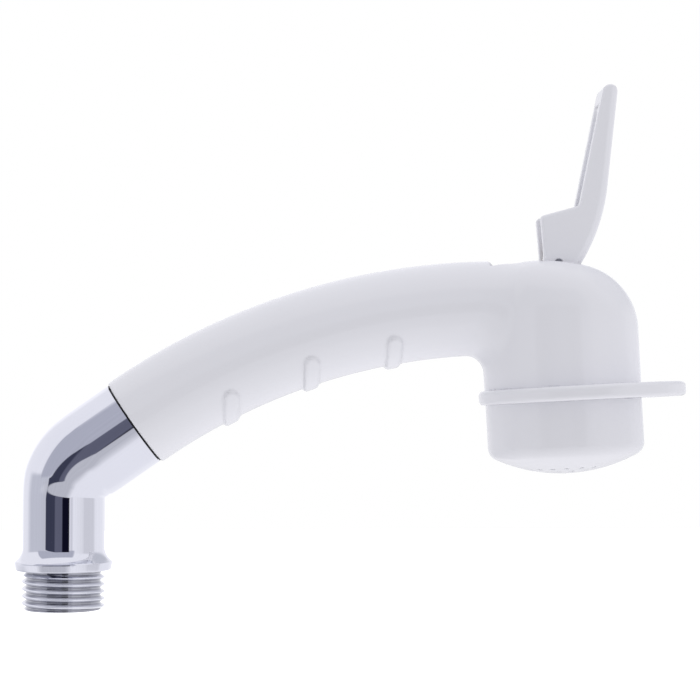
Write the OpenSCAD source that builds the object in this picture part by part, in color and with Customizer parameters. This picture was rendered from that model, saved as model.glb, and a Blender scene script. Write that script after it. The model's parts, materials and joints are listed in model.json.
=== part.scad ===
// Handheld spray for a backwash basin: a chromed inlet elbow swivels in the end of a curved
// white handle, and a folding lever on the head lifts the valve stem through a cam.
// Millimetres. Origin: centre of the inlet thread's end face. +Z runs up the inlet leg, +X
// points from the inlet to the head, and the whole part is symmetric about Y = 0.

/* [Inlet thread] */
// Crest radius of the male hose thread, G 1/2
thread_r = 10.48; // [10:0.01:11]
// Pitch of the hose thread
thread_pitch = 1.814; // [1.5:0.001:2]
// Length of the threaded end
thread_len = 9.7; // [8:0.1:11]

/* [Inlet elbow] */
// Radius of the straight lower leg
leg_r = 10.3; // [9.8:0.1:11]
// Radius of the upper leg, at the joint with the handle
arm_r = 11.65; // [11:0.05:12]
// Largest radius of the collar above the thread
collar_r = 12.3; // [11.8:0.1:13]
// Radius of the bend's centre line
bend_r = 13; // [12:0.5:14]
// Radius of the elbow's water way
way_r = 5.4; // [4:0.1:6]

/* [Handle] */
// Radius of the handle's centre line, which is one round arc
arc_r = 163.7; // [162:0.1:166]
// Centre of that arc, along X
arc_x = 111.8; // [111:0.1:113]
// Centre of that arc, along Z
arc_z = -86.8; // [-88:0.1:-85]
// Angle on the arc at which the handle starts
start_a = 125; // [124:0.5:126]
// Outer radius of the handle
grip_r = 12.15; // [12:0.05:12.5]
// Radius of the handle's curved bore
grip_bore_r = 9.4; // [9:0.1:9.8]
// Width of a finger rib
rib_w = 4.1; // [3:0.1:5]
// Height of a finger rib above the handle's skin
rib_rise = 0.95; // [0.5:0.05:1.2]

/* [Head] */
// Place of the head's axis along X, at the height of the splash ring
head_x = 128.1; // [127.5:0.1:129]
// Height of the splash ring on the head's axis
head_z = 55; // [54:0.1:56]
// Lean of the head's axis towards the inlet
head_tilt = 2.9; // [0:0.1:4]
// Outer radius of the head
head_r = 20.2; // [20:0.1:21]
// Radius of the round shoulder on top of the head
shoulder_r = 13; // [12:0.5:15]
// Height of the lever's pin above the splash ring, along the head's axis
pin_w = 33.4; // [33:0.1:33.8]
// Width of the slot that the lever works in
slot_w = 10.6; // [10.4:0.1:11]

/* [Splash ring and spray cap] */
// Radius of the splash ring
ring_r = 26.6; // [25:0.1:28]
// How far the ring's centre lies in front of the head's axis
ring_off = 4.9; // [3:0.1:6]
// Thickness of the ring
ring_t = 3.7; // [3:0.1:4]
// Outer radius of the spray cap
cap_r = 20.1; // [20:0.05:20.2]
// Radius of the spray face's dome
dome_r = 41; // [38:1:45]
// Radius of one spray hole
jet_r = 0.55; // [0.4:0.05:0.7]

/* [Lever and valve] */
// Angle through which the lever folds
fold_a = 108; // [90:1:108]
// Distance from the pin down to the cam's flat, with the lever up
cam_low = 2.65; // [2.4:0.05:2.8]
// Rise of the cam for each radian of fold
cam_rise = 0.75; // [0.6:0.05:0.8]
// Width of the lever
lever_w = 10; // [9.6:0.1:10.2]
// Width of the channel inside the lever
fork_w = 5.3; // [5.2:0.1:6]
// Radius of the valve stem
stem_r = 2.5; // [2:0.1:2.5]

/* [Hidden] */
$fn = 96;
e = 0.01;
run = 0.05;             // radial clearance of the running fits
rad = 180 / PI;

// Elbow: the handle's end fixes where the two legs meet
turn_a = start_a - 90;                               // upper leg's slope
end_x = arc_x + arc_r * cos(start_a);
end_z = arc_z + arc_r * sin(start_a);
bend_z = end_z - end_x * tan(turn_a);                // where the two centre lines cross
arm_len = end_x / cos(turn_a);                       // from that crossing to the handle
tangent_len = bend_r * tan((90 - turn_a) / 2);
joint_gap = 0.4;                                     // the dark line at the swivel

// Swivel: spigot on the elbow, socket in the handle
spigot_r = 7.6;
spigot_len = 12.6;
socket_r = 9.7;
socket_len = 19;
socket_deep = 13.4;                                  // depth of the socket's wide bore
groove_floor_r = 6.0;
ring_groove_s = 3.4;                                 // snap ring, from the handle's end
seal_s = [6.6, 10.2];                                // the two O-rings
tube_r = 4.9;
tube_bore_r = 3.9;
duct_a = 88.4;                                       // where the tube stops in the head
port_r = 3;
tube_arc_r = arc_r - 3.3;

// Stack inside the head, along its axis
shelf_w = ring_t / 2 - 0.4;                          // shell's lower edge, on the ring
ring_low_w = shelf_w - ring_t;
neck_r = 18.2;
neck_bore_r = 16;
neck_low_w = -7;
flange_r = neck_bore_r - run;
flange_low_w = 6;
flange_top_w = 9;
barrel_r = 7.6;
chamber_r = 5.4;
chamber_low_w = 12;
chamber_top_w = 22.2;
barrel_ring_w = [14.4, 23.6];                        // O-rings below and above the inlet port
seat_w = 13.4;                                       // where washer and seat meet
stem_foot_w = 15;
roof_w = 26.2;                                       // top of the valve body
gland_w = 23.5;                                      // floor of the gland's recess
plate_t = 0.8;
plate_top_w = pin_w - cam_low - 0.04;
floor_w = plate_top_w - plate_t;                     // flat part of the slot's floor
screw_ring_r = 12;
screw_a = [0, 120, 240];
dome_t = 2;
cap_low_w = -20.75;
cap_corner_r = 3.5;

// Lever: the face beside the handle leans a little, and lies on the slot's slope when folded
face_lean = 4.8 - head_tilt;
slope_a = fold_a + face_lean - 90;
ridge_u = cam_rise + 0.1;                            // edge between flat and slope
cam_high = cam_low + cam_rise * fold_a / rad;
hub_top_z = 12.3;
web_t = 1.8;
pin_r = 1;

// ---- helpers ----------------------------------------------------------------------------

function polar(c, r, a) = [c[0] + r * cos(a), c[1] + r * sin(a)];
function arc(c, r, a0, a1, n) = [for (i = [0 : n]) polar(c, r, a0 + (a1 - a0) * i / n)];
function turned(p, a) = [p[0] * cos(a) - p[1] * sin(a), p[0] * sin(a) + p[1] * cos(a)];

// Places children in the head's frame, whose Z is the head's axis
module in_head() {
    translate([head_x, 0, head_z]) rotate([0, -head_tilt, 0]) children();
}

// Places children with Z along the upper leg and the origin at the handle's end
module in_joint() {
    translate([end_x, 0, end_z]) rotate([0, 90 - turn_a, 0]) children();
}

// Sweeps a flat outline along the handle's arc, from one angle to another
module along_arc(r, a0, a1) {
    translate([arc_x, 0, arc_z]) rotate([90, 0, 0]) rotate([0, 0, a0])
        rotate_extrude(angle = a1 - a0, $fn = 180) translate([r, 0]) children();
}

module tube(r_out, r_in, low, high) {
    translate([0, 0, low]) difference() {
        cylinder(r = r_out, h = high - low);
        translate([0, 0, -e]) cylinder(r = r_in, h = high - low + 2 * e);
    }
}

module rod(r, low, high) {
    translate([0, 0, low]) cylinder(r = r, h = high - low);
}

module o_ring(major, minor, at) {
    translate([0, 0, at]) rotate_extrude() translate([major, 0]) circle(r = minor, $fn = 32);
}

// Extrudes a side view, drawn in X and Z, across the part
module across(w) {
    rotate([90, 0, 0]) linear_extrude(w, center = true) children();
}

// ---- inlet elbow ------------------------------------------------------------------------

// Half section of the threaded end and the collar, with the crests as true cylinders
module inlet_section() {
    root_r = thread_r - 1.1;
    crest = 0.42;
    starts = [for (i = [0 : 3]) 1.7 + i * thread_pitch];
    polygon(concat(
        [[0, 0], [root_r, 0], [thread_r, 0.95], [thread_r, 1.7 - thread_pitch + 2 * crest + 0.5]],
        [for (z = starts) each [
            [root_r, z - 0.25], [root_r, z + 0.25],
            [thread_r, z + thread_pitch / 2 - crest / 2],
            [thread_r, z + thread_pitch / 2 + crest / 2]
        ]],
        [[root_r, 1.7 + 4 * thread_pitch - 0.25], [root_r, thread_len],
         [collar_r - 0.3, thread_len], [collar_r, thread_len + 0.5],
         [collar_r, thread_len + 2.6]],
        arc([collar_r + 2.2, thread_len + 6.1], 4.2, 235, 180, 6),
        [[leg_r, bend_z - tangent_len + 1], [0, bend_z - tangent_len + 1]]
    ));
}

// Round bend between the two legs, or with a smaller radius the water way through it
module bend(r, more_a) {
    translate([bend_r, 0, bend_z - tangent_len]) rotate([90, 0, 0])
        rotate([0, 0, start_a - more_a])
            rotate_extrude(angle = 90 - turn_a + 2 * more_a)
                translate([bend_r, 0]) circle(r = r);
}

module elbow() {
    overlap = 1;                                     // how far each leg runs into the bend
    cone_len = 2.6;
    color([0.86, 0.87, 0.9]) difference() {
        union() {
            rotate_extrude() inlet_section();
            bend(leg_r + 0.2, 0);
            in_joint() {
                rod(arm_r, tangent_len + cone_len - arm_len, -joint_gap);
                translate([0, 0, tangent_len - arm_len - overlap])
                    cylinder(r1 = leg_r, r2 = arm_r, h = cone_len + overlap + e);
                rod(spigot_r, -joint_gap - 1, spigot_len);
            }
        }
        rod(way_r + 0.9, -1, bend_z - tangent_len);
        bend(way_r, 0.5);
        rod(8.2, -1, 2.4);
        in_joint() {
            rod(way_r - 0.2, tangent_len - arm_len - overlap, spigot_len + 1);
            tube(spigot_r + 1, groove_floor_r + 0.5, ring_groove_s - 0.7, ring_groove_s + 0.7);
            for (s = seal_s) tube(spigot_r + 1, groove_floor_r, s - 1.1, s + 1.1);
        }
    }
}

module elbow_o_rings() {
    color([0.08, 0.08, 0.09]) in_joint()
        for (s = seal_s) o_ring(groove_floor_r + 0.8, 0.8, s);
}

module elbow_snap_ring() {
    color([0.75, 0.75, 0.78]) in_joint() difference() {
        tube(spigot_r + 0.6, groove_floor_r + 0.55, ring_groove_s - 0.5, ring_groove_s + 0.5);
        translate([0, -1.2, ring_groove_s - 1]) cube([12, 2.4, 2]);
    }
}

// Perforated cup that keeps grit out of the spray, pressed into the inlet
module inlet_strainer() {
    color([0.7, 0.72, 0.76]) difference() {
        union() {
            tube(8.2 - run, 5.6, 1.4, 2.4);
            tube(6.2, 5.6, 1.4, 9);
            rod(6.2, 8.2, 9);
        }
        for (r = [0, 2, 4])
            for (a = [0 : 60 : 359])
                if (r > 0 || a == 0)
                    rotate([0, 0, a + r * 15]) translate([r, 0, 8]) cylinder(r = 0.6, h = 2);
    }
}

// ---- handle and head --------------------------------------------------------------------

// Three low ribs under the handle that give the fingers a hold
module finger_ribs() {
    rib_x = [42.7, 62.9, 83.8];
    rib_top_z = [55.2, 63.7, 68.9];
    intersection() {
        along_arc(arc_r, 92, start_a - 2) circle(r = grip_r + rib_rise);
        union() {
            for (i = [0 : 2]) across(2 * grip_r + 4) {
                translate([rib_x[i], rib_top_z[i] - rib_w / 2]) circle(r = rib_w / 2);
                translate([rib_x[i] - rib_w / 2, rib_top_z[i] - 14])
                    square([rib_w, 14 - rib_w / 2]);
            }
        }
    }
}

// Head without its hollows: a leaning drum under a flat, round-shouldered top
module head_drum() {
    top_lean = 5;                                    // the top follows the handle's crown
    crown_w = pin_w + 0.3;                           // just above that crown
    bun_w = crown_w - shoulder_r / cos(top_lean + head_tilt);
    flat_r = head_r - 0.15 - shoulder_r;             // a hair inside the drum below
    in_head() {
        difference() {
            rod(head_r, shelf_w, bun_w + 8);
            translate([0, 0, bun_w]) rotate([0, top_lean + head_tilt, 0])
                translate([-40, -40, 0]) cube([80, 80, 40]);
        }
        translate([0, 0, bun_w]) rotate([0, top_lean + head_tilt, 0]) rotate_extrude() {
            translate([0, -1]) square([flat_r, shoulder_r + 1]);
            intersection() {
                translate([flat_r, 0]) circle(r = shoulder_r);
                translate([0, -1]) square([head_r, shoulder_r + 2]);
            }
        }
    }
}

// Side view of the slot around the pin: end wall, deep end for the hub, slope and flat
module slot_outline() {
    end_u = -17.4;
    plate_end = -6.9;
    flat_z = floor_w - pin_w;
    slope = tan(slope_a);
    polygon([
        [end_u, 6], [end_u, -0.6], [-12.2, -7.1],
        [plate_end, flat_z + plate_t - 0.3 + (plate_end + ridge_u) * slope],
        [plate_end, flat_z + (plate_end + ridge_u) * slope],
        [-ridge_u, flat_z], [8.2, flat_z], [8.2, 6]
    ]);
}

module handle_shell() {
    color([0.93, 0.93, 0.96]) difference() {
        union() {
            along_arc(arc_r, 84, start_a) circle(r = grip_r);
            head_drum();
            finger_ribs();
            in_head() rod(neck_r, neck_low_w, shelf_w + 1);
        }
        // room for the straight socket, the curved bore and the way of the water tube
        in_joint() rod(socket_r, -1, socket_len);
        along_arc(arc_r, 91.5, start_a - 5) circle(r = grip_bore_r);
        along_arc(tube_arc_r, duct_a, 93) circle(r = tube_r + run);
        along_arc(tube_arc_r, duct_a + 0.4, duct_a + 1.2) circle(r = tube_r + 0.6);
        along_arc(tube_arc_r, 86, duct_a + 0.1) circle(r = port_r);
        in_head() {
            rod(neck_bore_r, neck_low_w - 1, flange_top_w);
            rod(barrel_r + run, flange_top_w - 1, roof_w);
            for (a = screw_a)
                rotate([0, 0, a]) translate([screw_ring_r, 0, 0]) rod(1.25, 5, 19);
            rod(stem_r + 0.2, roof_w - 1, pin_w);
            translate([0, 0, pin_w]) across(slot_w) slot_outline();
        }
        // moulded pocket round the valve, crossed by the duct and by posts for the screws
        difference() {
            in_head() difference() {
                tube(neck_bore_r - 0.4, 9.4, flange_top_w - 1, 22);
                for (a = screw_a) rotate([0, 0, a]) translate([screw_ring_r, 0, 0]) rod(3, 0, 30);
            }
            along_arc(tube_arc_r, 84, 95) circle(r = tube_r + 1.8);
        }
    }
}

module inlet_socket() {
    color([0.78, 0.64, 0.33]) difference() {
        in_joint() {
            rod(socket_r, 0.3, socket_len);
        }
        in_joint() {
            rod(spigot_r + run, -1, socket_deep);
            rod(spigot_r + 0.8, ring_groove_s - 0.8, ring_groove_s + 0.8);
            rod(3.4, socket_deep - 1, socket_len + 1);
        }
        along_arc(tube_arc_r, 116, 119.6) circle(r = tube_r + 0.5);
    }
}

module water_tube() {
    color([0.9, 0.9, 0.86]) along_arc(tube_arc_r, duct_a + 0.15, 119.3) difference() {
        circle(r = tube_r);
        circle(r = tube_bore_r);
    }
}

// Soft rings that seal the two ends of the water tube
module water_tube_seals() {
    color([0.08, 0.08, 0.09]) {
        along_arc(tube_arc_r, 118.5, 119.1) difference() {
            circle(r = tube_r + 0.5);
            circle(r = tube_r);
        }
        along_arc(tube_arc_r, duct_a + 0.5, duct_a + 1.1) difference() {
            circle(r = tube_r + 0.5);
            circle(r = tube_r);
        }
    }
}

// ---- valve ------------------------------------------------------------------------------

module valve_body() {
    color([0.8, 0.68, 0.38]) difference() {
        in_head() union() {
            rod(flange_r, flange_low_w, flange_top_w);
            rod(barrel_r, flange_low_w, roof_w);
        }
        in_head() {
            rod(chamber_r, chamber_low_w, chamber_top_w);
            rod(6.6, flange_low_w - 1, chamber_low_w + e);
            rod(stem_r + run, chamber_top_w - 1, roof_w + 1);
            rod(4.2, gland_w, roof_w + 1);
            tube(flange_r + 1, flange_r - 1.2, 6.8, 8.2);
            for (w = barrel_ring_w) tube(barrel_r + 1, barrel_r - 1.15, w - 0.75, w + 0.75);
            for (a = screw_a) rotate([0, 0, a]) translate([screw_ring_r, 0, 0]) {
                rod(1.6, 5, 10);
                rod(2.5, 5, 7.2);
            }
        }
        along_arc(tube_arc_r, 86, 90.5) circle(r = port_r);
    }
}

// One ring seals the flange in the neck, two seal the barrel either side of its port
module valve_body_o_rings() {
    color([0.08, 0.08, 0.09]) in_head() {
        o_ring(flange_r - 0.6, 0.6, 7.5);
        for (w = barrel_ring_w) o_ring(barrel_r - 0.55, 0.55, w);
    }
}

module valve_body_screws() {
    color([0.7, 0.7, 0.73]) in_head()
        for (a = screw_a) rotate([0, 0, a]) translate([screw_ring_r, 0, 0]) difference() {
            union() {
                rod(2.3, 5.2, 7.2);
                rod(1.25, 7.1, 17);
            }
            translate([0, 0, 5]) cylinder(r = 1.2, h = 1.4, $fn = 6);
        }
}

// Screw-in seat with the round lip that the washer closes on
module valve_seat() {
    color([0.83, 0.7, 0.4]) in_head() difference() {
        union() {
            rod(6.55, 7, chamber_low_w - 0.1);
            rod(4.3, chamber_low_w - 0.2, seat_w);
            rod(7.3, 5.2, 5.9);
            rod(6, 5.8, 7.1);
        }
        rod(3.3, 5, 15);
        rotate([0, 0, 30]) translate([0, 0, 5]) cylinder(r = 4.2, h = 3, $fn = 6);
    }
}

module seat_gasket() {
    color([0.08, 0.08, 0.09]) in_head() tube(6.55, 6.05, 6.0, 6.9);
}

module stem_o_ring() {
    color([0.08, 0.08, 0.09]) in_head() o_ring(3.36, 0.8, gland_w + 0.85);
}

module gland_bush() {
    color([0.9, 0.88, 0.8]) in_head() tube(4.15, stem_r + run, gland_w + 1.7, roof_w);
}

// Bent steel plate under the cam: flat below the pin, sloping towards the handle
module cam_plate() {
    run_out = 6.6;                                   // how far the slope reaches
    color([0.72, 0.73, 0.76]) in_head() difference() {
        translate([0, 0, plate_top_w]) across(slot_w - 0.3) polygon([
            [-ridge_u, 0], [6, 0], [6, -plate_t], [-ridge_u, -plate_t],
            [-run_out, -plate_t - (run_out - ridge_u) * tan(slope_a)],
            [-run_out, -(run_out - ridge_u) * tan(slope_a)]
        ]);
        rod(stem_r + 0.2, floor_w - 4, plate_top_w + 1);
    }
}

module valve_stem() {
    color([0.83, 0.7, 0.4]) in_head() difference() {
        union() {
            rod(stem_r, stem_foot_w, pin_w + 1.6);
            translate([0, 0, pin_w + 1.6]) cylinder(r1 = stem_r, r2 = 1.7, h = 0.8);
            rod(4.9, stem_foot_w, stem_foot_w + 1.2);
        }
        translate([0, 0, pin_w]) rotate([90, 0, 0])
            cylinder(r = pin_r + run, h = 8, center = true, $fn = 48);
        rod(1.2, stem_foot_w - 1, stem_foot_w + 3.2);
    }
}

module valve_washer() {
    color([0.08, 0.08, 0.09]) in_head() tube(4.9, 1.25, seat_w + 0.03, stem_foot_w);
}

module washer_screw() {
    color([0.7, 0.7, 0.73]) in_head() {
        rod(2.4, seat_w - 1.4, seat_w + 0.03);
        rod(1.15, seat_w - 0.2, stem_foot_w + 3);
    }
}

// Light closing spring; its coil is stacked from round turns
module valve_spring() {
    turns = 4;
    wire_r = 0.3;
    low = stem_foot_w + 1.25 + wire_r;
    high = chamber_top_w - 0.05 - wire_r;
    color([0.75, 0.76, 0.8]) in_head()
        for (i = [0 : turns]) o_ring(3.9, wire_r, low + (high - low) * i / turns);
}

// ---- lever ------------------------------------------------------------------------------

// Point on the cam when the lever has folded through angle t: rises by cam_rise a radian
function cam_point(t) =
    turned([-cam_rise, -(cam_low + cam_rise * t / rad)], -t);

// Outline of the lever's arm from the side, with the pin at the origin: an arc and a straight
// line up its back, and a round tip. upright() takes a point from the part's axes to the head's.
function upright(p) = turned(p, -head_tilt);
back_lean = 6.5 + head_tilt;
back_c = upright([-35.6, 25.7]);
back_r = 49;
tip_c = upright([13.8, 44.5]);
tip_r = 2.05;
front_lean = 12;

module lever_outline() {
    slope_foot = turned([-ridge_u, -cam_high], -fold_a);
    hub_rise = hub_top_z - slope_foot[1];
    hub_corner = [slope_foot[0] - hub_rise * tan(face_lean), hub_top_z];
    polygon(concat(
        [for (t = [0 : 6 : fold_a]) cam_point(t)],
        [slope_foot, hub_corner, [hub_corner[0] + 0.8, hub_top_z + 0.5], upright([5.5, 14.9])],
        arc(tip_c, tip_r, 180 - front_lean - head_tilt, -back_lean, 10),
        arc(back_c, back_r, -back_lean, -32, 12),
        arc([3.1, 0.95], 3.6, -8, -90, 6)
    ));
}

// Hollow between the two cheeks, open on the side that folds down on the handle
module lever_channel() {
    polygon(concat(
        [[-9, -6], [-9, 14]],
        [for (p = [[4, 14.4], [9.4, 41.7], [13, 41.7]]) upright(p)],
        arc(back_c, back_r - web_t, -back_lean, -29, 10),
        arc([0, 0], 3.7, 40, -60, 6),
        [[2.8, -6]]
    ));
}

module lever() {
    color([0.93, 0.93, 0.96]) in_head() translate([0, 0, pin_w]) difference() {
        across(lever_w) lever_outline();
        across(fork_w) lever_channel();
        rotate([90, 0, 0]) cylinder(r = pin_r, h = lever_w + 2, center = true, $fn = 48);
    }
}

module lever_pin() {
    color([0.35, 0.35, 0.38]) in_head() translate([0, 0, pin_w]) rotate([90, 0, 0])
        cylinder(r = pin_r, h = lever_w - 0.6, center = true, $fn = 48);
}

// ---- splash ring, diffuser and cap ------------------------------------------------------

module splash_ring() {
    edge = 1.2;
    color([0.93, 0.93, 0.96]) in_head() difference() {
        translate([ring_off, 0, 0]) rotate_extrude() union() {
            translate([0, ring_low_w]) square([ring_r - edge, ring_t]);
            translate([0, ring_low_w + edge]) square([ring_r, ring_t - 2 * edge]);
            for (w = [ring_low_w + edge, shelf_w - edge])
                translate([ring_r - edge, w]) circle(r = edge);
        }
        rod(neck_r + run, -5, 5);
    }
}

module cap_gasket() {
    color([0.08, 0.08, 0.09]) in_head() tube(neck_r - 0.1, neck_bore_r, neck_low_w - 1.6, neck_low_w);
}

// Perforated disc that spreads the water before the spray face
module diffuser() {
    color([0.85, 0.86, 0.9]) in_head() difference() {
        rod(17.6, -10, neck_low_w - 1.6);
        for (n = [1, 2])
            for (a = [0 : 30 : 359])
                rotate([0, 0, a + n * 15]) translate([4 * n + 2, 0, -11]) cylinder(r = 0.9, h = 4, $fn = 24);
    }
}

// Half section of a domed cup: wall radius r, dome radius d, corner radius c, lowest point low
module cup_section(r, d, c, low, top) {
    corner_w = low + d - sqrt(pow(d - c, 2) - pow(r - c, 2));
    lean = asin((r - c) / (d - c));
    polygon(concat(
        [[0, top], [0, low]],
        arc([0, low + d], d, -90, lean - 90, 12),
        arc([r - c, corner_w], c, lean - 90, 0, 8),
        [[r, top]]
    ));
}

module spray_cap() {
    jets = [[0, 1], [3.5, 6], [7, 12], [10.5, 18]];  // radius and count of each circle of holes
    color([0.93, 0.93, 0.96]) in_head() difference() {
        rotate_extrude() cup_section(cap_r, dome_r, cap_corner_r, cap_low_w, ring_low_w);
        rotate_extrude() cup_section(16.8, dome_r - dome_t, 2, cap_low_w + dome_t, ring_low_w);
        rod(17.7, -10, ring_low_w + 1);
        rod(neck_r + run, neck_low_w - 1.6, ring_low_w + 1);
        for (j = jets)
            for (i = [0 : j[1] - 1])
                rotate([0, 0, i * 360 / j[1]]) translate([j[0], 0, cap_low_w - 1])
                    cylinder(r = jet_r, h = 6, $fn = 24);
    }
}

elbow();
elbow_o_rings();
elbow_snap_ring();
inlet_strainer();
handle_shell();
inlet_socket();
water_tube();
water_tube_seals();
valve_body();
valve_body_o_rings();
valve_body_screws();
valve_seat();
seat_gasket();
stem_o_ring();
gland_bush();
cam_plate();
diffuser();
cap_gasket();
spray_cap();
splash_ring();
valve_stem();
valve_washer();
washer_screw();
valve_spring();
lever();
lever_pin();
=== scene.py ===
import json
import math

import bpy
import numpy as np
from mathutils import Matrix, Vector


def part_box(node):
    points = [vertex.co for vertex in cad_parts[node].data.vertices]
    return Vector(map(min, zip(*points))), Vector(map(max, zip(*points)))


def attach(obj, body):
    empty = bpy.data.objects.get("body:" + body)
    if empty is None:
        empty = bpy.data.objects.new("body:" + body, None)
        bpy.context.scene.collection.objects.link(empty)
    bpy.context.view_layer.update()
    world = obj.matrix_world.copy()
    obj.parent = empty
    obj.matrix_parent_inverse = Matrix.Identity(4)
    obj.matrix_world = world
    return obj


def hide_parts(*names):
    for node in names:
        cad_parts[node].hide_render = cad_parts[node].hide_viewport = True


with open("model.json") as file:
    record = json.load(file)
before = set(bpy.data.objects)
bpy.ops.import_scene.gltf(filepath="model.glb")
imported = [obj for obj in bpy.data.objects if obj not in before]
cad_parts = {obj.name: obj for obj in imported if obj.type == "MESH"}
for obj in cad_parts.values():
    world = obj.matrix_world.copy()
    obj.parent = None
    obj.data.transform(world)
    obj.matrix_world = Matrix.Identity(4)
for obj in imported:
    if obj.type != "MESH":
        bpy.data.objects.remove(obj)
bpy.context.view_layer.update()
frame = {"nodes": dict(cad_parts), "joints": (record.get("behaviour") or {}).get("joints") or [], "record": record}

MM = 0.001

# ---- places and sizes, in millimetres in the row frame -----------------------------------

JOINTS = {j["name"]: j for j in frame["joints"]}


def mm(values):
    return np.array(values, float) / MM


END = mm(JOINTS["elbow_swivel"]["pos_m"])              # centre of the handle's end
ARM = np.array(JOINTS["elbow_swivel"]["axis"], float)  # up the elbow's upper leg
PIN = mm(JOINTS["lever_fold"]["pos_m"])                # the lever's pin
UP = np.array(JOINTS["valve_lift"]["axis"], float)     # the head's axis
TILT = math.atan2(-UP[0], UP[2])
PIN_W = 33.4
HEAD = PIN - PIN_W * UP                                # head axis at the splash ring

ARC_R = 163.7                                          # centre line of the handle
ARC = END - ARC_R * np.array([-ARM[2], 0, ARM[0]])     # its centre
GRIP_R = 12.15
HEAD_R = 20.2
SHOULDER_R = 13
NECK_R = 18.2
NECK_BORE_R = 16
SHELF_W = 1.45                                         # shell's lower edge, on the ring
RING_LOW_W = -2.25
SUNK = 0.25                                            # of the shell's and cap's edges in the ring
NECK_LOW_W = -7
SLOT_W = 10.6
RUN = 0.05                                             # clearance of parts that slide on the neck


# ---- fields: signed distances in mm, negative inside --------------------------------------

def both(a, b, r):
    """Inside both, with the edge between them rounded."""
    return np.minimum(-r, np.maximum(a, b)) + np.hypot(np.maximum(r + a, 0), np.maximum(r + b, 0))


def either(a, b, r):
    """Inside either, with the corner between them filled."""
    return np.maximum(r, np.minimum(a, b)) - np.hypot(np.maximum(r - a, 0), np.maximum(r - b, 0))


def cut(a, b, r=0.3):
    """Inside a but outside b, with a rounded rim."""
    return both(a, -b, r)


def head_frame(x, z):
    """Coordinates across (u) and along (w) the head's axis."""
    c, s = math.cos(TILT), math.sin(TILT)
    dx, dz = x - HEAD[0], z - HEAD[2]
    return dx * c + dz * s, dz * c - dx * s


def arm_frame(x, z):
    """Distance past the handle's end along the upper leg's axis, and across it."""
    dx, dz = x - END[0], z - END[2]
    return dx * ARM[0] + dz * ARM[2], dz * ARM[0] - dx * ARM[2]


def band(w, low, high):
    return np.maximum(low - w, w - high)


def corner_arc(before, p, after, r, count):
    """Points of the arc that rounds the corner at p. count gives their number from its turn."""
    p = np.array(p, float)
    if r <= 0:
        return [tuple(p)]
    a, b = np.array(before, float) - p, np.array(after, float) - p
    a, b = a / np.linalg.norm(a), b / np.linalg.norm(b)
    half = math.acos(float(np.clip(a @ b, -1, 1))) / 2
    if half > math.radians(89.9):
        return [tuple(p)]
    centre = p + (a + b) / np.linalg.norm(a + b) * r / math.sin(half)
    start = p + a * r / math.tan(half) - centre
    turn = math.pi - 2 * half
    if start[0] * b[1] - start[1] * b[0] < 0:
        turn = -turn
    pts = []
    for t in np.linspace(0, turn, count(abs(turn))):
        c, s = math.cos(t), math.sin(t)
        pts.append(tuple(centre + [start[0] * c - start[1] * s, start[0] * s + start[1] * c]))
    return pts


def rounded(corners, step):
    """Closed outline through (x, z, radius) corners, with a point every step degrees of an arc."""
    pts = []
    for i, (x, z, r) in enumerate(corners):
        before, after = corners[i - 1][:2], corners[(i + 1) % len(corners)][:2]
        pts += corner_arc(before, (x, z), after, r,
                          lambda turn: max(2, int(math.degrees(turn) / step) + 1) + 1)
    return np.array(pts)


def arc_points(c, r, a0, a1, n):
    a = np.radians(np.linspace(a0, a1, n + 1))
    return [(c[0] + r * math.cos(t), c[1] + r * math.sin(t)) for t in a]


def outline(points, x, z):
    """Signed distance to a closed outline of straight pieces, drawn in the X-Z plane."""
    best = np.full(np.broadcast(x, z).shape, 1e9)
    inside = np.zeros(best.shape, bool)
    for (ax, az), (bx, bz) in zip(points, np.roll(points, -1, axis=0)):
        ex, ez = bx - ax, bz - az
        px, pz = x - ax, z - az
        t = np.clip((px * ex + pz * ez) / (ex * ex + ez * ez), 0, 1)
        best = np.minimum(best, (px - t * ex) ** 2 + (pz - t * ez) ** 2)
        crosses = ((az <= z) & (bz > z)) | ((bz <= z) & (az > z))
        side = ex * pz - ez * px
        inside ^= crosses & ((side > 0) == (bz > az))
    return np.where(inside, -1, 1) * np.sqrt(best)


# ---- mesher: turns a field into a closed, evenly spaced mesh ------------------------------

def slope(field, p, h=0.01):
    g = np.empty_like(p)
    for i in range(3):
        d = np.zeros(3)
        d[i] = h
        a, b = p + d, p - d
        g[:, i] = field(a[:, 0], a[:, 1], a[:, 2]) - field(b[:, 0], b[:, 1], b[:, 2])
    return g / (2 * h)


def settle(field, p, most, rounds):
    """Moves points onto the surface."""
    for _ in range(rounds):
        g = slope(field, p)
        f = field(p[:, 0], p[:, 1], p[:, 2])
        step = -f[:, None] * g / np.maximum((g * g).sum(1), 0.2)[:, None]
        size = np.linalg.norm(step, axis=1, keepdims=True)
        p = p + step * np.minimum(1, most / np.maximum(size, 1e-12))
    return p


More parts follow.
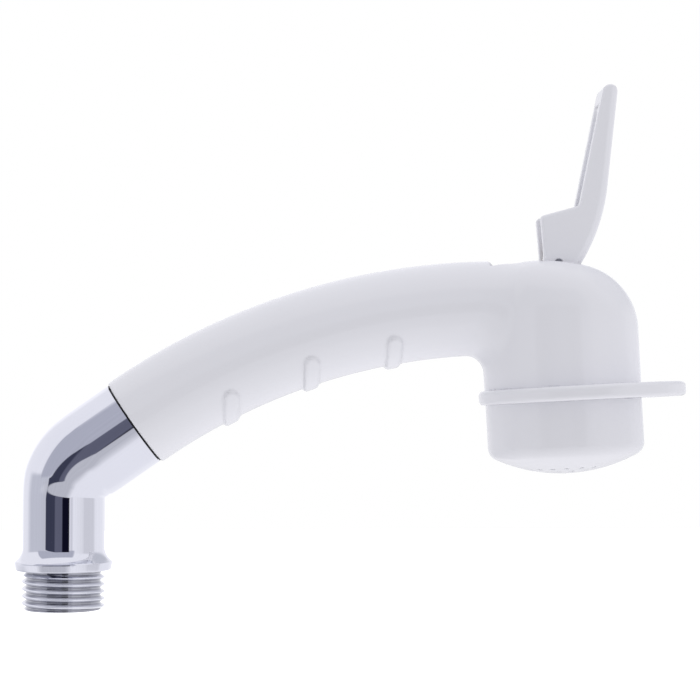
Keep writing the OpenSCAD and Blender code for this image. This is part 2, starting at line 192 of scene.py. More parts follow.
def mesh_field(name, field, low, high, step, relax=2):
    low, high = np.array(low, float), np.array(high, float)
    n = np.ceil((high - low) / step).astype(int) + 1
    x, y, z = (low[i] + step * np.arange(n[i]) for i in range(3))
    values = np.empty(n)
    values[:] = field(x[:, None, None], y[None, :, None], z[None, None, :])
    inside = values < 0
    corners = [(i, j, k) for i in (0, 1) for j in (0, 1) for k in (0, 1)]
    count = sum(inside[i:n[0] - 1 + i, j:n[1] - 1 + j, k:n[2] - 1 + k].astype(np.int8)
                for i, j, k in corners)
    active = (count > 0) & (count < 8)
    index = np.full(active.shape, -1)
    index[active] = np.arange(active.sum())
    cells = np.argwhere(active)
    total, hits = np.zeros((len(cells), 3)), np.zeros(len(cells))
    for a in corners:
        for axis in range(3):
            if a[axis]:
                continue
            b = list(a)
            b[axis] = 1
            va, vb = (values[tuple((cells + c).T)] for c in (a, b))
            crosses = (va < 0) != (vb < 0)
            t = np.where(crosses, va / np.where(crosses, va - vb, 1), 0)
            point = np.array(a, float) + t[:, None] * (np.array(b) - np.array(a))
            total += point * crosses[:, None]
            hits += crosses
    points = low + step * (cells + total / hits[:, None])
    quads = []
    for axis in range(3):
        p, q = (axis + 1) % 3, (axis + 2) % 3
        first = np.take(inside, range(n[axis] - 1), axis)
        second = np.take(inside, range(1, n[axis]), axis)
        edges = np.argwhere(first != second)
        edges = edges[(edges[:, p] > 0) & (edges[:, q] > 0)
                      & (edges[:, p] < n[p] - 1) & (edges[:, q] < n[q] - 1)]
        loop = []
        for dp, dq in ((0, 0), (-1, 0), (-1, -1), (0, -1)):
            c = edges.copy()
            c[:, p] += dp
            c[:, q] += dq
            loop.append(index[tuple(c.T)])
        quad = np.stack(loop, 1)
        outward = first[tuple(edges.T)]
        quads.append(np.where(outward[:, None], quad, quad[:, ::-1]))
    quads = np.concatenate(quads)
    a, b = quads.ravel(), np.roll(quads, -1, axis=1).ravel()
    ends, others = np.concatenate([a, b]), np.concatenate([b, a])
    degree = np.bincount(ends, minlength=len(points))
    points = settle(field, points, step / 2, 2)
    for _ in range(relax):
        mean = np.stack([np.bincount(ends, points[others, i], len(points)) for i in range(3)], 1)
        points = points + 0.5 * (mean / degree[:, None] - points)
        points = settle(field, points, step / 2, 2)
    points = settle(field, points, step / 2, 1)
    g = slope(field, points)
    normals = g / np.linalg.norm(g, axis=1, keepdims=True)
    return make_mesh(name, points, quads, normals)


def make_mesh(name, points, faces, normals=None, sharp=None):
    mesh = bpy.data.meshes.new(name)
    mesh.from_pydata((np.asarray(points) * MM).tolist(), [], np.asarray(faces).tolist())
    mesh.validate()
    mesh.polygons.foreach_set("use_smooth", [True] * len(mesh.polygons))
    if normals is not None:
        mesh.normals_split_custom_set_from_vertices(normals.tolist())
    if sharp:
        mesh.set_sharp_from_angle(angle=math.radians(sharp))
    mesh.update()
    piece = bpy.data.objects.new(name, mesh)
    bpy.context.scene.collection.objects.link(piece)
    return piece


# ---- handle shell -------------------------------------------------------------------------

def arc_frame(x, z):
    dx, dz = x - ARC[0], z - ARC[2]
    return dx, dz, np.hypot(dx, dz)


def past(dx, dz, degrees):
    """Distance past the plane across the handle at that angle of its arc, towards the inlet."""
    a = math.radians(degrees)
    return dz * math.cos(a) - dx * math.sin(a)


RIBS = [(42.7, 55.2), (62.9, 63.7), (83.8, 68.9)]      # each rib's middle along X, and its top
RIB_W = 4.1
RIB_RISE = 0.95
RIB_LEN = 14
START_A = math.degrees(math.atan2(ARM[0], -ARM[2]))    # angle on the arc at the handle's end
LAST_A = 84                                            # and where the tube ends, inside the head
BLEND_R = 4.6                                          # between handle and head, at a right angle
BLEND_MORE = 12                                        # added to it at shallow angles
SOCKET_BORE_R = 9.72
SOCKET_DEPTH = 19
GRIP_BORE_R = 9.4
NECK_BORE_TOP_W = 9
TUBE_ARC_R = ARC_R - 3.3                               # the water tube lies lower in the handle
DUCT_R = 5.45                                          # seat of the water tube in the head
DUCT_WALL_R = 6.8
PORT_R = 3                                             # from the duct to the valve
VALVE_BORE_R = 7.7
STEM_BORE_R = 2.75
POCKET_R = (9.4, 15.6)                                 # hollow round the valve
POCKET_W = (8, 22)
SCREW_RING_R = 12
POST_R = 3
SCREW_HOLE_R = 1.25
SLOT = [(-17.4, 7, 0), (-17.4, -0.5, 0.8), (-12.2, -7.35, 0.5), (-6.9, -4.85, 0),
        (-6.9, -5.34, 0.2), (-0.85, -3.49, 0), (8.2, -3.49, 0.3), (8.2, 7, 0)]


def head_skin(x, y, z):
    """Outside of the head, with its slope, for the blend with the handle."""
    u, w = head_frame(x, z)
    dx, dz, rho = arc_frame(x, z)
    q = np.hypot(u, y)
    wall, crown = q - HEAD_R, rho - ARC_R - GRIP_R
    a, b = np.maximum(SHOULDER_R + wall, 1e-6), np.maximum(SHOULDER_R + crown, 1e-6)
    skin = both(wall, crown, SHOULDER_R)
    skin = both(skin, SHELF_W - SUNK - w, 0.12)
    c, s, size = math.cos(TILT), math.sin(TILT), np.hypot(a, b)
    q, rho = np.maximum(q, 1e-6), np.maximum(rho, 1e-6)
    slopes = ((a * u / q * c + b * dx / rho) / size, a * y / q / size,
              (a * u / q * s + b * dz / rho) / size)
    return skin, slopes


def shell_skin(x, y, z):
    dx, dz, rho = arc_frame(x, z)
    off = rho - ARC_R
    s = np.maximum(np.hypot(off, y), 1e-6)
    tube = s - GRIP_R
    head, (hx, hy, hz) = head_skin(x, y, z)
    cosine = (hx * off * dx / rho + hy * y + hz * off * dz / rho) / s
    size = np.maximum(np.sqrt(hx * hx + hy * hy + hz * hz), 1e-6)
    cosine = np.clip(cosine / size, -1, 1)
    fade = (1 - np.sqrt((1 + cosine) / 2)) / 0.293      # 1 where the skins cross at a right angle
    blend_r = (BLEND_R + BLEND_MORE * np.maximum(cosine, 0)) * fade
    rib = 1e9
    for rx, top in RIBS:
        over = np.maximum(z - (top - RIB_W / 2), 0) + np.maximum((top - RIB_LEN) - z, 0)
        rib = np.minimum(rib, np.hypot(x - rx, over) - RIB_W / 2)
    tube = either(tube, both(tube - RIB_RISE, rib, 1.1), 0.4)
    tube = both(tube, past(dx, dz, START_A), 0.6)
    tube = np.maximum(tube, -past(dx, dz, LAST_A))
    return either(tube, head, np.maximum(blend_r, 0.02))


def shell(x, y, z):
    u, w = head_frame(x, z)
    s, v = arm_frame(x, z)
    dx, dz, rho = arc_frame(x, z)
    q = np.hypot(u, y)
    body = shell_skin(x, y, z)
    neck = both(q - NECK_R, NECK_LOW_W - w, 0.4)
    body = np.minimum(body, np.maximum(neck, w - SHELF_W - 1))
    # bores for the socket, the water tube and the valve
    bore = both(np.hypot(v, y) - SOCKET_BORE_R, s - SOCKET_DEPTH, 0.3)
    curved = np.hypot(rho - ARC_R, y) - GRIP_BORE_R
    curved = np.maximum(curved, np.maximum(past(dx, dz, START_A - 5), -past(dx, dz, 91.5)))
    bore = np.minimum(bore, curved)
    water = np.hypot(rho - TUBE_ARC_R, y)
    duct = np.maximum(water - DUCT_R, np.maximum(past(dx, dz, 93), -past(dx, dz, 88.4)))
    port = np.maximum(water - PORT_R, np.maximum(past(dx, dz, 90), -past(dx, dz, 85.8)))
    bore = np.minimum(bore, np.minimum(duct, port))
    bore = np.minimum(bore, both(q - NECK_BORE_R, w - NECK_BORE_TOP_W, 0.3))
    bore = np.minimum(bore, np.maximum(q - VALVE_BORE_R, band(w, 8, 26.25)))
    bore = np.minimum(bore, np.maximum(q - STEM_BORE_R, band(w, 20, 34)))
    posts, screws = 1e9, 1e9
    for k in range(3):
        a = 2 * math.pi * k / 3
        away = np.hypot(u - SCREW_RING_R * math.cos(a), y - SCREW_RING_R * math.sin(a))
        posts, screws = np.minimum(posts, away - POST_R), np.minimum(screws, away - SCREW_HOLE_R)
    pocket = np.maximum(band(q, *POCKET_R), band(w, *POCKET_W))
    pocket = both(pocket, -posts, 0.4)
    tunnel = np.maximum(water - DUCT_WALL_R, -past(dx, dz, LAST_A))
    pocket = both(pocket, -tunnel, 0.4)
    bore = np.minimum(bore, pocket)
    bore = np.minimum(bore, np.maximum(screws, band(w, 5, 19)))
    body = cut(body, bore, 0.25)
    slot = both(outline(SLOT_POINTS, u, w - PIN_W), np.abs(y) - SLOT_W / 2, 0.5)
    return cut(body, slot, 0.35)


SLOT_POINTS = rounded(SLOT, 12)


# ---- splash ring and spray cap ------------------------------------------------------------

RING_R = 26.6
RING_OFF = 4.9
RING_EDGE_R = 1.15
CAP_CORNER = (16.6, -13.38)
CAP_CORNER_R = 3.5
CAP_LOW_W = -20.75
DOME_R = 41
DOME_INNER_R = 39
CAP_BORE_R = 16.8
THREAD_BORE_R = 17.7                                   # where the cap screws on the neck
THREAD_LOW_W = -10
MOUTH_LOW_W = -8.6
HOLES_TOP_W = -15
JETS = [(0, 1), (3.5, 6), (7, 12), (10.5, 18)]         # radius and count of each circle of holes
JET_R = 0.55


def ring(x, y, z):
    u, w = head_frame(x, z)
    rim = np.hypot(u - RING_OFF, y) - RING_R
    flat = band(w, RING_LOW_W, SHELF_W)
    return cut(both(rim, flat, RING_EDGE_R), np.hypot(u, y) - NECK_R - RUN, 0.2)


def cup(q, w, corner, r, low, dome):
    """Round cup seen in section: a wall, a corner arc and a shallow dome."""
    cq, cw = q - corner[0], w - corner[1]
    n = np.array([corner[0], corner[1] - (low + dome)])
    n = n / np.linalg.norm(n)
    wall = cq
    bottom = np.hypot(q, w - low - dome) - np.hypot(corner[0], corner[1] - low - dome)
    past_corner = cq * n[1] - cw * n[0] < 0
    arc = np.hypot(cq, cw)
    return np.where(cw > 0, np.where(cq > bottom, wall, np.maximum(wall, bottom)),
                    np.where(past_corner & (cq > 0), arc, bottom)) - r


def cap(x, y, z):
    u, w = head_frame(x, z)
    q = np.hypot(u, y)
    outer = cup(q, w, CAP_CORNER, CAP_CORNER_R, CAP_LOW_W, DOME_R)
    outer = both(outer, w - RING_LOW_W - SUNK, 0.12)
    dome = CAP_LOW_W + DOME_R - np.sqrt(DOME_INNER_R ** 2 - np.minimum(q, DOME_INNER_R - 1) ** 2)
    hollow = both(q - CAP_BORE_R, dome - w, 2)
    hollow = np.minimum(hollow, both(q - THREAD_BORE_R, THREAD_LOW_W - w, 0.3))
    hollow = np.minimum(hollow, both(q - NECK_R - RUN, MOUTH_LOW_W - w, 0.3))
    holes = 1e9
    for r, count in JETS:
        for k in range(count):
            a = 2 * math.pi * k / count
            away = np.hypot(u - r * math.cos(a), y - r * math.sin(a)) - JET_R
            holes = np.minimum(holes, away)
    hollow = np.minimum(hollow, np.maximum(holes, w - HOLES_TOP_W))
    return cut(outer, hollow, 0.12)


# ---- lever --------------------------------------------------------------------------------
# Side view in the row's axes with the pin at the origin.

LEVER_W = 10
EDGE_R = 0.75
BACK_EDGE_R = 2.1                                      # softer, for the thumb
PIN_HOLE_R = 1.02
FORK_W = 5.3                                           # channel between the two cheeks
BACK_C = (-35.6, 25.7)
BACK_R = 49
BACK_LEAN = 6.5
FRONT_LEAN = 12
TIP = (13.8, 44.5)
TIP_R = 2.05
CAM_LOW = 2.65                                         # from the pin down to the cam, unfolded
CAM_RISE = 0.75                                        # lift for each radian of fold
FOLD_A = 108
FACE_LEAN = 4.8                                        # of the hub's front, away from the head
HUB_TOP = 12.3
ARM_ROOT = (5.5, 14.9)
HEEL_C = (3.1, 0.95)
HEEL_R = 3.6
WEB = 1.8                                              # thickness of the back behind the channel


def turned(p, degrees):
    a = math.radians(degrees)
    return (p[0] * math.cos(a) - p[1] * math.sin(a), p[0] * math.sin(a) + p[1] * math.cos(a))


def lever_points():
    tilt = math.degrees(TILT)
    cams = [turned((-CAM_RISE, -(CAM_LOW + CAM_RISE * math.radians(t))), -t)
            for t in range(0, FOLD_A + 1, 4)]
    foot = turned((-CAM_RISE - 0.1, -(CAM_LOW + CAM_RISE * math.radians(FOLD_A))), -FOLD_A)
    rise = HUB_TOP - foot[1]
    corner = (foot[0] - rise * math.tan(math.radians(FACE_LEAN - tilt)), HUB_TOP)
    low = [turned(p, tilt) for p in cams + [foot]]
    heel = [turned(p, tilt) for p in arc_points(HEEL_C, HEEL_R, -8, -90, 14)]
    top = turned(corner, tilt)
    hub = rounded([low[-1] + (0,), (top[0], top[1], 0.9), ARM_ROOT + (1.6,),
                   (TIP[0] - TIP_R, TIP[1], 0)], 6)[1:-1].tolist()
    tip = arc_points(TIP, TIP_R, 180 - FRONT_LEAN, -BACK_LEAN, 30)
    back = arc_points(BACK_C, BACK_R, -BACK_LEAN, -32 + tilt, 60)
    return np.array(low + hub + tip + back + heel)


def channel_points():
    tilt = math.degrees(TILT)
    wide = [(-12, -7, 0), (-12, 14.2, 0), (4, 14.4, 0.5), (9.4, 41.7, 1.2), (13, 41.7, 0.8)]
    start = rounded(wide + [(13.2 - WEB, 21, 0)], 8)[:-1].tolist()
    back = arc_points(BACK_C, BACK_R - WEB, -BACK_LEAN, -29 + tilt, 40)
    heel = [turned(p, tilt) for p in arc_points((0, 0), 3.7, 40, -60, 12)]
    return np.array(start + back + heel + [turned((2.8, -6), tilt)])


def lever(x, y, z):
    x, z = x - PIN[0], z - PIN[2]
    side = np.abs(y) - LEVER_W / 2
    body = both(outline(LEVER_POINTS, x, z), side, EDGE_R)
    c, s = math.cos(math.radians(BACK_LEAN)), math.sin(math.radians(BACK_LEAN))
    bx, bz = x - BACK_C[0], z - BACK_C[1]
    along, across = bx * s + bz * c, bx * c - bz * s
    back = np.where(along > 0, across, np.hypot(bx, bz)) - BACK_R
    body = np.maximum(body, both(back, side, BACK_EDGE_R))
    hollow = both(outline(CHANNEL_POINTS, x, z), np.abs(y) - FORK_W / 2, 0.35)
    hollow = np.minimum(hollow, np.hypot(x, z) - PIN_HOLE_R)
    return cut(body, hollow, 0.35)


LEVER_POINTS = lever_points()
CHANNEL_POINTS = channel_points()


# ---- elbow: one closed skin swept along the two legs and back through the bore -------------

BEND_R = 13
LEG_R = 10.3
ARM_R = 11.65
JOINT_GAP = 0.3                                        # between elbow and handle
COLLAR_R = 12.3
FLARE_R = 4.2                                          # hollow curve between collar and leg
FLARE_TOP = 15.7
THREAD_R = 10.48
PITCH = 1.814
THREAD_DEPTH = 1.16
THREAD_LEN = 10.0
THREAD_END = THREAD_LEN - 0.55                         # where the crests run out
COLLAR_LEN = 2.0
STRAINER_SEAT = (8.2, 2.4)                             # radius and depth
LEG_BORE_R = 6.3
BEND_BORE_R = 5.4
ARM_BORE_R = 5.2
SPIGOT_R = 7.6                                         # turns in the handle's socket
SPIGOT_LEN = 12.6
GROOVES = [(2.7, 4.1, 6.55), (5.5, 7.7, 6.0), (9.1, 11.3, 6.0)]    # snap ring, O-ring, O-ring
SWELL = 0.45                                           # the leg widens by this just past its bend
SWELL_START = 0.3
SWELL_LEN = 4.5
AROUND = 144                                           # points in each ring

TURN = math.acos(ARM[2])                               # angle between the two legs
CROSS_Z = END[2] - END[0] * ARM[2] / ARM[0]
TANGENT = BEND_R * math.tan(TURN / 2)
BEND_Z = CROSS_Z - TANGENT                             # where the lower leg ends
BEND_LEN = BEND_R * TURN
ARM_LEN = END[0] / ARM[0] - TANGENT
PATH_LEN = BEND_Z + BEND_LEN + ARM_LEN                 # from the inlet's face to the handle


def path(s):
    """Centre and sideways direction at each distance along the elbow's centre line."""
    a = np.clip((s - BEND_Z) / BEND_R, 0, TURN)
    x = BEND_R * (1 - np.cos(a)) + np.maximum(s - BEND_Z - BEND_LEN, 0) * math.sin(TURN)
    z = (np.minimum(s, BEND_Z) + BEND_R * np.sin(a)
         + np.maximum(s - BEND_Z - BEND_LEN, 0) * math.cos(TURN))
    return x, z, np.cos(a), -np.sin(a)


def fillet(corners, spacing):
    """Open (s, r) profile with rounded corners and no piece longer than spacing."""
    pts = [corners[0][:2]]
    for before, (s, r, f), after in zip(corners, corners[1:], corners[2:]):
        pts += corner_arc(before[:2], (s, r), after[:2], f, lambda turn: max(3, int(turn * 6)))
    pts.append(corners[-1][:2])
    out = [pts[0]]
    for p, q in zip(pts, pts[1:]):
        k = max(1, int(np.ceil(math.dist(p, q) / spacing)))
        out += [(p[0] + (q[0] - p[0]) * t / k, p[1] + (q[1] - p[1]) * t / k) for t in range(1, k + 1)]
    return out


def eased(t):
    t = np.clip(t, 0, 1)
    return t * t * (3 - 2 * t)


def swept(profile):
    """Points of rings of radius r round the centre line, at each distance s along it."""
    angle = 2 * math.pi * np.arange(AROUND) / AROUND
    s, r = (c[:, None] for c in profile.T)
    cx, cz, ex, ez = path(s)
    return angle, s, r, lambda r: np.stack([cx + r * np.cos(angle) * ex, r * np.sin(angle),
                                            cz + r * np.cos(angle) * ez], -1).reshape(-1, 3)


def hoops(k):
    """Faces between k closed rings, the last joined to the first."""
    i, j = np.meshgrid(np.arange(k), np.arange(AROUND), indexing="ij")
    i2, j2 = (i + 1) % k, (j + 1) % AROUND
    m = AROUND
    return np.stack([i * m + j, i * m + j2, i2 * m + j2, i2 * m + j], -1).reshape(-1, 4)


def gap_shade_ring():
    """Black ring that fills the gap between elbow and handle: painted shade, a dark sheet standing in for the
    shadow in that gap.
    """
    low, high, top = PATH_LEN - JOINT_GAP + 0.01, PATH_LEN - 0.04, ARM_R - 0.06
    profile = np.array(fillet([(low, SPIGOT_R + 0.1, 0), (low, top, 0.05), (high, top, 0.05),
                               (high, SPIGOT_R + 0.1, 0)], 0.6))
    _, _, r, place = swept(profile)
    return make_mesh("painted_gap_shade_ring", place(r), hoops(len(profile)), sharp=35)


def elbow_profile():
    """Half section as (s, r) points: up the outside, then back down the bore."""
    neck, face, bend_end = THREAD_R - THREAD_DEPTH, PATH_LEN - JOINT_GAP, BEND_Z + BEND_LEN
    seat_r, seat_depth = STRAINER_SEAT
    points = fillet([(0, seat_r, 0), (0, THREAD_R - 1.0, 0.2), (1.0, THREAD_R, 0)], 0.1)
    points += [(s, THREAD_R) for s in np.arange(1.08, THREAD_END, 0.08)]
    collar = [(THREAD_END, neck, 0), (THREAD_LEN - 0.1, neck, 0.2),
              (THREAD_LEN, COLLAR_R - 0.3, 0.3), (THREAD_LEN + COLLAR_LEN, COLLAR_R, 0.7)]
    flare = arc_points((LEG_R + FLARE_R, FLARE_TOP), FLARE_R, 236, 180, 7)
    points += fillet(collar + [(s, r, 0) for r, s in flare] + [(BEND_Z - 1.2, LEG_R, 0)], 0.5)
    swell_end = BEND_LEN + 3.5
    at = np.linspace(-1, swell_end, 52)
    wider = SWELL * eased((at - SWELL_START) / SWELL_LEN)
    wider = wider + (ARM_R - LEG_R - SWELL) * eased((at - SWELL_START) / (swell_end - SWELL_START))
    points += [(BEND_Z + s, LEG_R + more) for s, more in zip(at, wider)]
    spigot = [(BEND_Z + swell_end, ARM_R, 0), (face, ARM_R, 0.12), (face, SPIGOT_R, 0)]
    for start, end, bottom in GROOVES:
        spigot += [(PATH_LEN + start, SPIGOT_R, 0), (PATH_LEN + start, bottom, 0),
                   (PATH_LEN + end, bottom, 0), (PATH_LEN + end, SPIGOT_R, 0)]
    spigot += [(PATH_LEN + SPIGOT_LEN, SPIGOT_R, 0.5), (PATH_LEN + SPIGOT_LEN, ARM_BORE_R, 0.3),
               (bend_end, ARM_BORE_R, 0)]
    points += fillet(spigot, 1.2)[1:]
    points += fillet([(bend_end - 0.8, BEND_BORE_R, 0), (BEND_Z, BEND_BORE_R, 0),
                      (BEND_Z, LEG_BORE_R, 0), (seat_depth, LEG_BORE_R, 0),
                      (seat_depth, seat_r, 0), (0.1, seat_r, 0)], 0.8)
    profile = np.array(points)
    keep = np.append(True, np.hypot(*np.diff(profile, axis=0).T) > 1e-4)
    return profile[keep]


def elbow():
    profile = elbow_profile()
    angle, s, r, place = swept(profile)
    # a triangle wave with soft tips, one turn of the angle to each pitch
    phase = (s / PITCH + angle / (2 * math.pi)) % 1
    wave = 1.5 * (1 - 4 * np.abs(phase - 0.5))
    wave = wave / (1 + np.abs(wave) ** 4) ** 0.25
    depth = THREAD_DEPTH * (0.5 - 0.5 * wave)
    run_out = 1 - np.clip((THREAD_LEN - 0.5 - s) / 1.0, 0, 1)
    depth = np.maximum(depth, THREAD_DEPTH * run_out)
    threaded = (r > THREAD_R - 1.01) & (s < THREAD_END + 0.01)
    r = np.where(threaded, np.minimum(r, THREAD_R - depth), r)
    return make_mesh("chrome_elbow", place(r), hoops(len(profile)), sharp=35)


# ---- materials ----------------------------------------------------------------------------

def node(tree, kind, inputs=None, **settings):
    """Adds a node. Inputs are values, or (node, output) pairs to link."""
    made = tree.nodes.new(kind)
    for key, value in settings.items():
        setattr(made, key, value)
    for key, value in (inputs or {}).items():
        if isinstance(value, tuple) and isinstance(value[0], bpy.types.Node):
            tree.links.new(value[0].outputs[value[1]], made.inputs[key])
        else:
            made.inputs[key].default_value = value
    return made


def material(name, colour, rough, metal=0.0, spread=0.03, grain=700, bump=0.02, stretch=(1, 1, 1),
             patches=30, rough_spread=0.05):
    """Surface with slow colour drift, fine roughness changes and a shallow moulded or cut grain."""
    made = bpy.data.materials.new(name)
    made.use_nodes = True
    tree = made.node_tree
    shader = tree.nodes["Principled BSDF"]
    place = node(tree, "ShaderNodeTexCoord")
    drift = node(tree, "ShaderNodeTexNoise", {"Vector": (place, "Object"), "Scale": patches,
                                              "Detail": 3.0, "Roughness": 0.5})
    darker = tuple(c * (1 - spread) for c in colour) + (1,)
    tone = node(tree, "ShaderNodeValToRGB", {"Fac": (drift, "Fac")})
    tone.color_ramp.elements[0].position, tone.color_ramp.elements[1].position = 0.3, 0.7
    tone.color_ramp.elements[0].color, tone.color_ramp.elements[1].color = darker, tuple(colour) + (1,)
    turned_place = node(tree, "ShaderNodeMapping", {"Vector": (place, "Object"), "Scale": stretch})
    fine = node(tree, "ShaderNodeTexNoise", {"Vector": (turned_place, "Vector"), "Scale": grain,
                                             "Detail": 4.0, "Roughness": 0.55})
    gloss = node(tree, "ShaderNodeMapRange", {"Value": (fine, "Fac"), "From Min": 0.3,
                                              "From Max": 0.7, "To Min": rough - rough_spread,
                                              "To Max": rough + rough_spread})
    relief = node(tree, "ShaderNodeBump", {"Height": (fine, "Fac"), "Strength": bump,
                                           "Distance": 0.0002})
    tree.links.new(tone.outputs["Color"], shader.inputs["Base Color"])
    tree.links.new(gloss.outputs["Result"], shader.inputs["Roughness"])
    tree.links.new(relief.outputs["Normal"], shader.inputs["Normal"])
    shader.inputs["Metallic"].default_value = metal
    shader.inputs["IOR"].default_value = 1.5
    return made


WHITE = material("gloss_white_plastic", (0.895, 0.895, 0.932), 0.11, spread=0.012, grain=420,
                 bump=0.02, patches=26, rough_spread=0.03)
CHROME = material("polished_chrome", (0.80, 0.808, 0.862), 0.045, metal=1.0, spread=0.02, grain=160,
                  bump=0.012, patches=60, rough_spread=0.018)


def shade_grooves(look):
    """Darkens the bottom of the inlet's thread, where less light gets in."""
    tree = look.node_tree
    shader = tree.nodes["Principled BSDF"]
    plain = shader.inputs["Base Color"].links[0].from_socket
    place = node(tree, "ShaderNodeTexCoord")
    axes = node(tree, "ShaderNodeSeparateXYZ", {"Vector": (place, "Object")})
    flat = node(tree, "ShaderNodeCombineXYZ", {"X": (axes, "X"), "Y": (axes, "Y")})
    away = node(tree, "ShaderNodeVectorMath", {0: (flat, "Vector")}, operation="LENGTH")
    shade = node(tree, "ShaderNodeMapRange", {"Value": (away, "Value"), "To Min": 0.6,
                                              "From Min": (THREAD_R - THREAD_DEPTH) * MM,
                                              "From Max": (THREAD_R - 0.1) * MM, "To Max": 1.0})
    above = node(tree, "ShaderNodeMapRange", {"Value": (axes, "Z"),
                                              "From Min": THREAD_LEN * MM - 0.0001,
                                              "From Max": THREAD_LEN * MM})
    most = node(tree, "ShaderNodeMath", {0: (shade, "Result"), 1: (above, "Result")},
                operation="MAXIMUM")
    mix = node(tree, "ShaderNodeVectorMath", {1: (most, 0)}, operation="MULTIPLY")
    tree.links.new(plain, mix.inputs[0])
    tree.links.new(mix.outputs["Vector"], shader.inputs["Base Color"])


shade_grooves(CHROME)
BRASS = material("turned_brass", (0.77, 0.59, 0.29), 0.27, metal=1.0, spread=0.14, grain=500,
                 bump=0.15, stretch=(1, 1, 9), patches=90)
STEEL = material("bright_steel", (0.58, 0.59, 0.62), 0.3, metal=1.0, spread=0.1, grain=900,
                 bump=0.12, stretch=(1, 6, 1), patches=120)
# Black of the real rubber seals, also worn by the painted shade ring in the gap between elbow and handle.
RUBBER_AND_GAP_SHADE = material("black_seal_rubber_and_gap_shade", (0.03, 0.03, 0.033), 0.62, spread=0.3, grain=1500, bump=0.2,
                  patches=200)
INNER = material("matt_inner_plastic", (0.80, 0.80, 0.76), 0.46, spread=0.05, grain=1100, bump=0.1,
                 patches=60)
FINISHES = {"white_plastic": WHITE, "chromed_brass": CHROME, "turned_brass": BRASS, "steel": STEEL,
            "seal_rubber": RUBBER_AND_GAP_SHADE, "inner_plastic": INNER}

# ---- pieces: detailed skins for what shows, finishes for the CAD nodes behind them ---------

def add(piece, body, slot, *nodes):
    piece.data.materials.append(FINISHES[slot])
    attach(piece, body)
    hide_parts(*nodes)


# Each white piece: its name, field and body, the CAD node that it replaces, the room left round
# that node's box, and the mesh's spacing
SKINS = [
    ("moulded_handle_shell", shell, "hand_piece", "handle_shell", 1.5, 0.64),
    ("folding_lever", lever, "lever_arm", "lever", 1, 0.32),
    ("eccentric_splash_ring", ring, "hand_piece", "splash_ring", 1.2, 0.46),
    ("domed_spray_cap", cap, "hand_piece", "spray_cap", 1, 0.36),
]

for name, field, body, replaced, room, step in SKINS:
    low, high = (mm(c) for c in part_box(replaced))
    add(mesh_field(name, field, low - room, high + room, step), body, "white_plastic", replaced)
add(elbow(), "inlet", "chromed_brass", "elbow")
# The black ring is painted shade, put in the gap between elbow and handle where only shadow falls.
add(gap_shade_ring(), "inlet", "seal_rubber")

for part in frame["record"]["subparts"]:
    mesh = frame["nodes"][part["node"]].data
    mesh.materials.clear()
    mesh.materials.append(FINISHES[part["material_slot"]])

# ---- studio -------------------------------------------------------------------------------


def floor():
    """Pale table, lit from within like a photographer's light table."""
    side, drop = 1.6, -0.075
    points = [(x * side, y * side, drop) for x, y in ((-1, -1), (1, -1), (1, 1), (-1, 1))]
    table = make_mesh("pale_table", np.array(points) / MM, [(0, 1, 2, 3)])
    look = material("pale_table_top", (0.93, 0.93, 0.94), 0.6, spread=0.01, grain=90, bump=0.02)
    shader = look.node_tree.nodes["Principled BSDF"]
    shader.inputs["Emission Color"].default_value = (1, 1, 1, 1)
    shader.inputs["Emission Strength"].default_value = 0.5
    table.data.materials.append(look)
    table.visible_glossy = table.visible_diffuse = False


# Cards in the studio: azimuths and their blur, heights and their blur, in degrees, and brightness
CARDS = [
    (-186, -148, 6, -90, 50, 10, (1.04, 1.04, 1.09)),
    (146, 186, 6, -90, 50, 10, (0.98, 0.98, 1.03)),
    (42, 103, 14, -22, 22, 6, (0.86, 0.86, 0.91)),
    (62, 101, 5, -22, 22, 6, (0.72, 0.72, 0.77)),
    (24, 31, 3, -16, 14, 4, (0.72, 0.72, 0.78)),
    (-108, -40, 12, -9, 9, 4, (0.62, 0.63, 0.70)),
    (-56, 18, 10, -38, -5, 8, (0.57, 0.575, 0.63)),
    (95, 165, 12, 14, 52, 8, (0.60, 0.61, 0.67)),
    (-165, -100, 12, -52, -14, 8, (0.60, 0.61, 0.67)),
    (-70, 36, 3, 3.5, 49, 3, (0.49, 0.50, 0.585)),
]


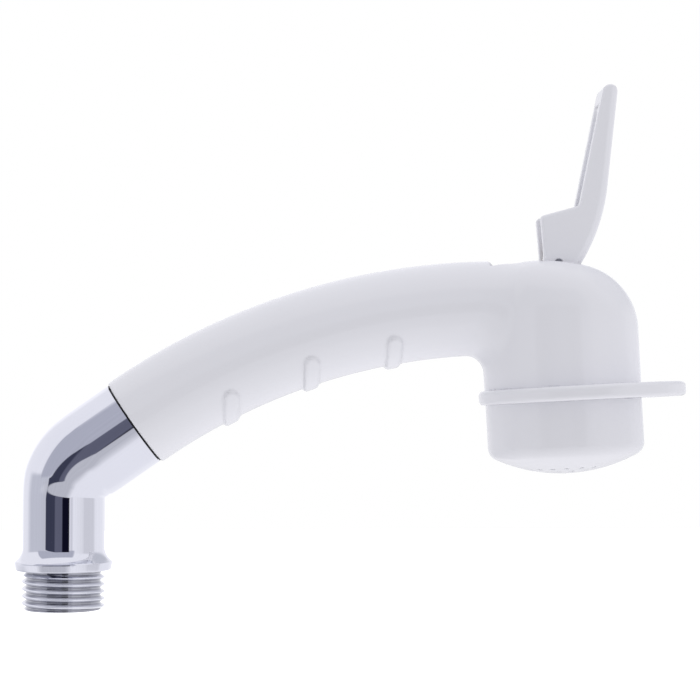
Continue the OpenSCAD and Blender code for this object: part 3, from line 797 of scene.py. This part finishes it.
def surroundings():
    """White room with a grey card and a dark card on the side that the camera looks from."""
    world = bpy.data.worlds.new("studio")
    bpy.context.scene.world = world
    world.use_nodes = True
    tree = world.node_tree
    tree.nodes.clear()

    def calc(kind, *values):
        made = tree.nodes.new("ShaderNodeMath")
        made.operation = kind
        for k, v in enumerate(values):
            if isinstance(v, (int, float)):
                made.inputs[k].default_value = v
            else:
                tree.links.new(v, made.inputs[k])
        return made.outputs[0]

    def rises(value, at, blur):
        made = tree.nodes.new("ShaderNodeMapRange")
        made.interpolation_type = "SMOOTHSTEP"
        tree.links.new(value, made.inputs["Value"])
        made.inputs["From Min"].default_value = at - blur
        made.inputs["From Max"].default_value = at + blur
        return made.outputs["Result"]

    def window(value, a, b, blur):
        return calc("SUBTRACT", rises(value, a, blur), rises(value, b, blur))

    def mixed(fac, a, b, how="MIX"):
        made = tree.nodes.new("ShaderNodeMix")
        made.data_type, made.blend_type = "RGBA", how
        if isinstance(fac, float):
            made.inputs["Factor"].default_value = fac
        else:
            tree.links.new(fac, made.inputs["Factor"])
        for key, v in (("A", a), ("B", b)):
            socket = next(s for s in made.inputs if s.name == key and s.type == "RGBA")
            if isinstance(v, tuple):
                socket.default_value = v + (1,)
            else:
                tree.links.new(v, socket)
        return next(s for s in made.outputs if s.type == "RGBA")

    place = node(tree, "ShaderNodeTexCoord")
    axes = node(tree, "ShaderNodeSeparateXYZ", {"Vector": (place, "Generated")})
    x, y, z = (axes.outputs[k] for k in "XYZ")
    azimuth = calc("DEGREES", calc("ARCTAN2", x, calc("MULTIPLY", y, -1.0)))
    height = calc("DEGREES", calc("ARCSINE", z))
    colour = (0.93, 0.93, 0.985)
    for a0, a1, soft_a, h0, h1, soft_h, tint in CARDS:
        area = calc("MULTIPLY", window(azimuth, a0, a1, soft_a), window(height, h0, h1, soft_h))
        colour = mixed(area, colour, tint)
    slant = calc("SUBTRACT", height, calc("MULTIPLY", azimuth, 0.45))
    below = calc("SUBTRACT", 1.0, rises(slant, 21.0, 1.2))
    dark = calc("MULTIPLY", window(azimuth, -46.0, 21.5, 1.6), window(height, -11.0, 13.0, 1.2))
    dark = calc("MULTIPLY", dark, below)
    streaks = node(tree, "ShaderNodeTexNoise", {"W": (azimuth.node, 0), "Scale": 0.6, "Detail": 2.0},
                   noise_dimensions="1D")
    tone = mixed(window(azimuth, -19.0, 2.0, 2.0), (0.055, 0.06, 0.10), (0.15, 0.155, 0.22))
    tone = mixed(window(azimuth, 2.0, 40.0, 1.5), tone, (0.004, 0.004, 0.014))
    tone = mixed(calc("MULTIPLY", streaks.outputs["Fac"], 0.35), tone, (0.01, 0.01, 0.02))
    ripple = calc("MULTIPLY_ADD", streaks.outputs["Fac"], 0.36, 0.82)
    colour = mixed(dark, mixed(1.0, colour, ripple, "MULTIPLY"), tone)
    low, high = calc("MAXIMUM", calc("MULTIPLY", z, -1.0), 0.0), calc("MAXIMUM", z, 0.0)
    soft = calc("MULTIPLY_ADD", y, 0.13, 0.805)
    soft = calc("MULTIPLY_ADD", x, 0.1, soft)
    soft = calc("ADD", soft, calc("MULTIPLY", calc("MULTIPLY", low, low), 0.66))
    soft = calc("ADD", soft, calc("MULTIPLY", calc("MULTIPLY", high, high), 0.22))
    light = node(tree, "ShaderNodeBackground")
    tree.links.new(colour, light.inputs["Color"])
    wash = node(tree, "ShaderNodeBackground", {"Color": (1.0, 1.0, 1.03, 1)})
    tree.links.new(soft, wash.inputs["Strength"])
    plain = node(tree, "ShaderNodeBackground", {"Color": (1, 1, 1, 1)})
    rays = node(tree, "ShaderNodeLightPath")
    lit = node(tree, "ShaderNodeMixShader", {0: (rays, "Is Diffuse Ray"), 1: (light, 0), 2: (wash, 0)})
    shown = node(tree, "ShaderNodeMixShader", {0: (rays, "Is Camera Ray"), 1: (lit, 0), 2: (plain, 0)})
    node(tree, "ShaderNodeOutputWorld", {"Surface": (shown, 0)})


def camera():
    distance, wide = 0.45, 0.1804
    turn, tip = math.radians(-3.0), math.radians(-2.5)
    aim = Vector((0.0729, 0, 0.066))
    away = Vector((math.sin(turn) * math.cos(tip), -math.cos(turn) * math.cos(tip), math.sin(tip)))
    lens = bpy.data.cameras.new("studio_camera")
    lens.angle = 2 * math.atan(wide / 2 / distance)
    lens.clip_start, lens.clip_end = 0.01, 20
    eye = bpy.data.objects.new("studio_camera", lens)
    eye.location = aim + distance * away
    eye.rotation_euler = (-away).to_track_quat("-Z", "Y").to_euler()
    bpy.context.scene.collection.objects.link(eye)
    bpy.context.scene.camera = eye


floor()
surroundings()
camera()
bpy.context.scene.view_settings.view_transform = "Standard"
